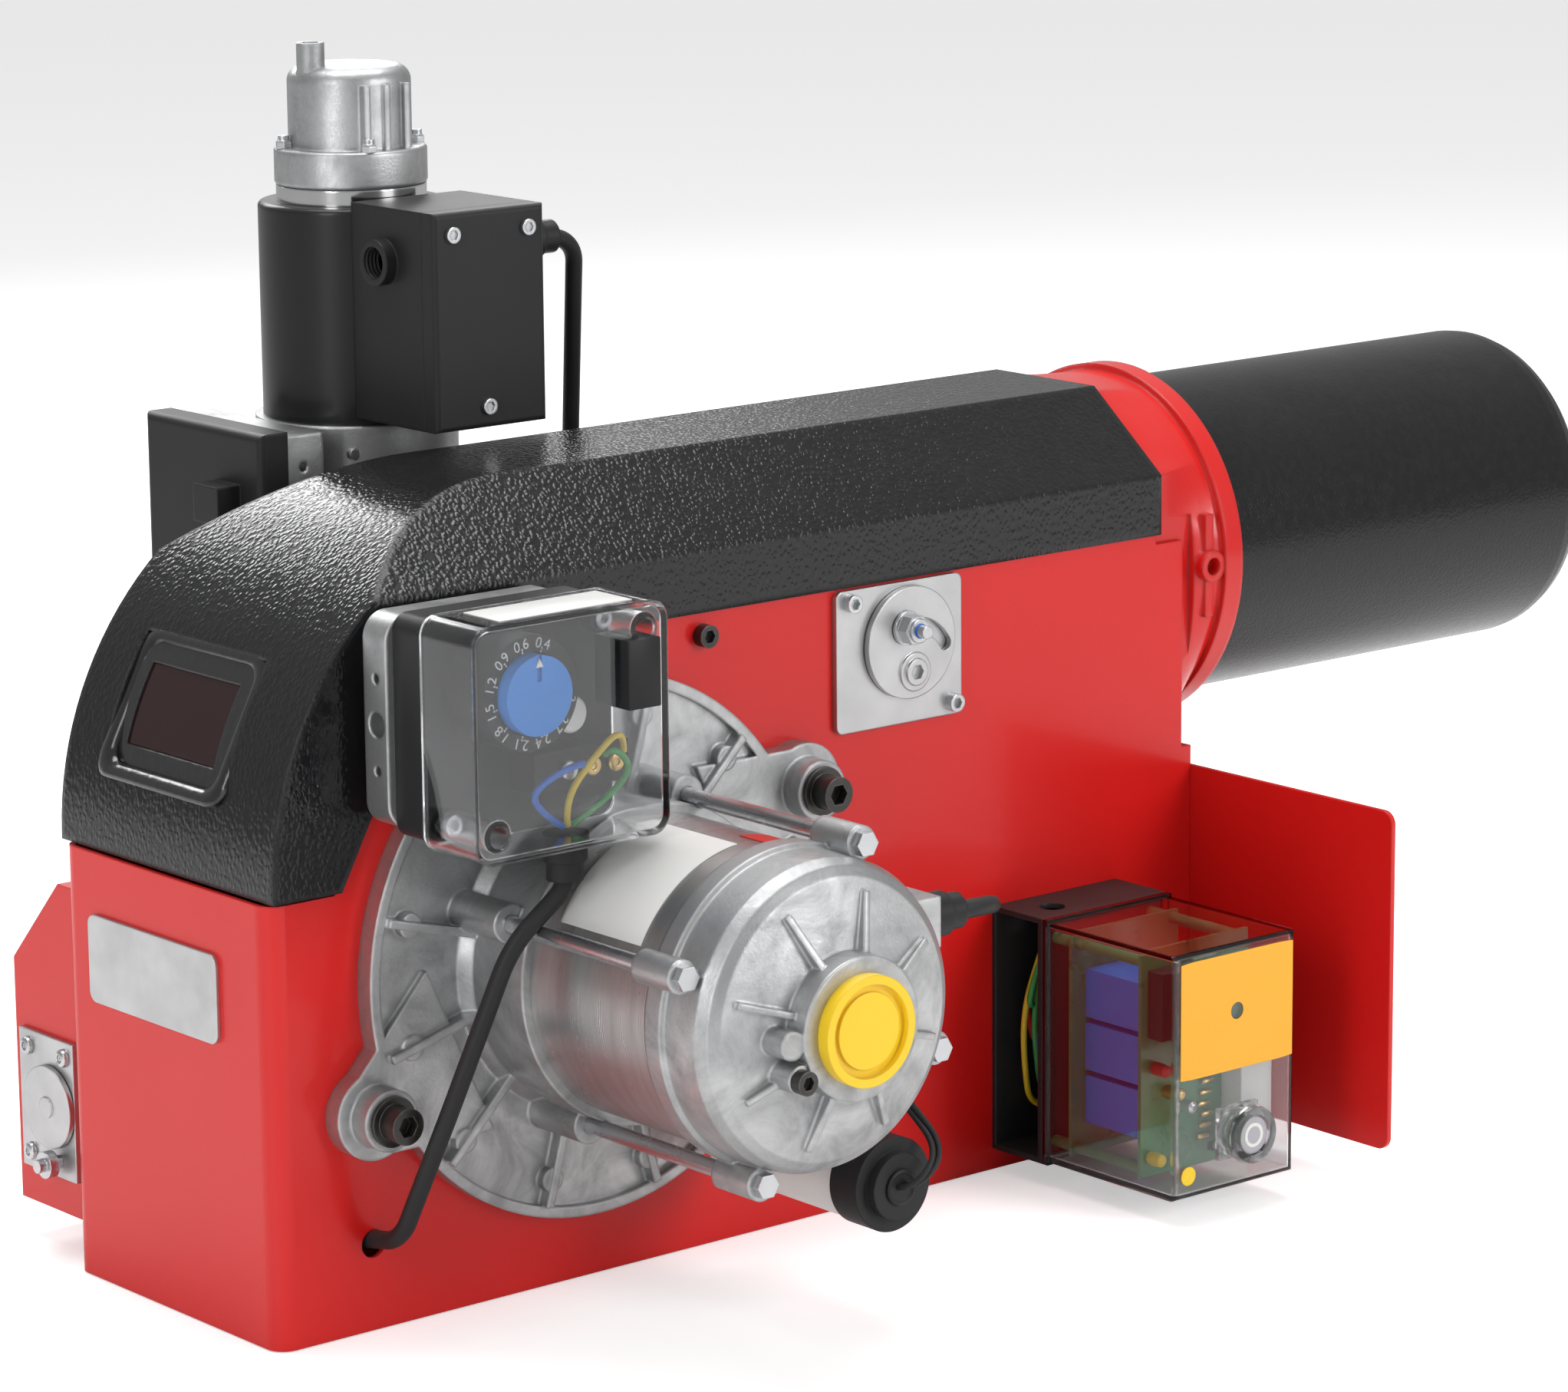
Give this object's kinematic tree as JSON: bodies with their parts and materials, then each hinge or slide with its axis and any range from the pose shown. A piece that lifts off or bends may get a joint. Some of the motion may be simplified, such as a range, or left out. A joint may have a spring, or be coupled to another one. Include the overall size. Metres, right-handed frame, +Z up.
{
  "type": "industrial gas burner",
  "caption": "Forced draught gas burner: red sheet casing, curved black cover, side fan motor, round blast tube, pressure switch, control box and solenoid gas valve.",
  "frame": {"origin": "centre of the casing's bottom face", "axes": "+X flame direction along the blast tube, +Z up, -Y the motor side, +Y the gas valve side"},
  "size_m": [0.665, 0.383, 0.428],
  "materials": {
    "red_paint": "smooth gloss powder coat",
    "red_casting": "gloss paint on casting",
    "wrinkle_black": "leathery wrinkle paint",
    "gloss_black": "gloss",
    "smoked_glass": "dark tinted",
    "tube_black": "fine orange-peel paint",
    "black_steel": "black oxide",
    "zinc": "zinc plated",
    "steel": "plain",
    "white_ceramic": "smooth",
    "cast_alu": "sand cast",
    "lamination": "stacked sheet edges",
    "yellow_plastic": "moulded",
    "galvanised": "galvanised",
    "black_plastic": "moulded",
    "black_rubber": "satin",
    "white_plastic": "smooth",
    "plate_alu": "rolled sheet",
    "clear_plastic": "clear polycarbonate",
    "board_green": "lacquered",
    "relay_blue": "moulded",
    "clear_sleeve": "clear",
    "grey_plastic": "smooth",
    "dial_black": "printed",
    "dial_blue": "printed",
    "coil_black": "satin",
    "bright_steel": "polished",
    "pipe_steel": "grey primer"
  },
  "bodies": {
    "frame": {"lower_casing": "red_paint", "guard_plate": "red_paint", "front_neck": "red_casting", "inlet_box": "red_paint", "top_cover": "wrinkle_black", "window_frame": "gloss_black", "sight_pane": "smoked_glass", "blast_tube": "tube_black", "socket_screws": "black_steel", "small_screws": "zinc", "lug_screws": "black_steel", "lid_screws": "zinc", "tie_bolts": "zinc", "gas_elbow": "steel", "head_spider": "steel", "motor_flange": "cast_alu", "stator": "lamination", "end_bell": "cast_alu", "hub_plug": "yellow_plastic", "bearings": "steel", "cable_glands": "black_plastic", "motor_lead": "black_rubber", "capacitor_can": "white_plastic", "capacitor_boot": "black_rubber", "capacitor_clip": "zinc", "adjuster_plate": "plate_alu", "adjuster_stud": "zinc", "control_base": "black_plastic", "control_cover": "clear_plastic", "control_boards": "board_green", "relays": "relay_blue", "reset_sleeve": "clear_sleeve", "switch_base": "cast_alu", "switch_body": "black_plastic", "switch_cover": "clear_plastic", "switch_scale": "dial_black", "switch_lead": "black_rubber", "valve_body": "cast_alu", "coil": "coil_black", "armature_tube": "bright_steel", "valve_cap": "cast_alu", "terminal_box": "black_plastic", "terminal_lid": "black_plastic", "valve_lead": "black_rubber", "gas_pipe": "pipe_steel", "gas_switch_base": "cast_alu", "gas_switch_cover": "black_plastic", "test_plug": "yellow_plastic", "damper_plate": "plate_alu", "damper_stud": "zinc"},
    "rotor": {"rotor_shaft": "steel", "fan_wheel": "galvanised"},
    "head": {"gas_lance": "steel", "diffuser_disc": "steel", "electrodes": "white_ceramic"},
    "adjuster": {"adjuster_disc": "plate_alu"},
    "damper": {"air_damper": "plate_alu"},
    "dial": {"switch_dial": "dial_blue"},
    "reset": {"reset_button": "grey_plastic"},
    "valve_plunger": {"plunger": "steel"}
  },
  "joints": [
    {"name": "fan_spin", "type": "hinge", "parent": "frame", "child": "rotor", "pos_m": [-0.0815, 0, 0.123], "axis": [0, -1, 0], "continuous": true},
    {"name": "head_slide", "type": "slide", "parent": "frame", "child": "head", "axis": [1, 0, 0], "range_m": [0, 0.012]},
    {"name": "adjuster_turn", "type": "hinge", "parent": "frame", "child": "adjuster", "pos_m": [0.07, -0.067, 0.2005], "axis": [0, -1, 0], "range_deg": [0, 72]},
    {"name": "damper_turn", "type": "hinge", "parent": "frame", "child": "damper", "pos_m": [-0.116, 0.088, 0.054], "axis": [1, 0, 0], "range_deg": [0, 80]},
    {"name": "dial_turn", "type": "hinge", "parent": "frame", "child": "dial", "pos_m": [-0.147, -0.11, 0.232], "axis": [0, 1, 0], "range_deg": [-120, 120]},
    {"name": "reset_push", "type": "slide", "parent": "frame", "child": "reset", "axis": [0, 1, 0], "range_m": [0, 0.003], "stiffness_N_per_m": 400},
    {"name": "valve_lift", "type": "slide", "parent": "frame", "child": "valve_plunger", "axis": [0, 0, 1], "range_m": [0, 0.008], "stiffness_N_per_m": 800, "springref_m": -0.002}
  ],
  "couplings": [
    {"joint": "adjuster_turn", "follows": "head_slide", "rad_per_m": 104}
  ]
}
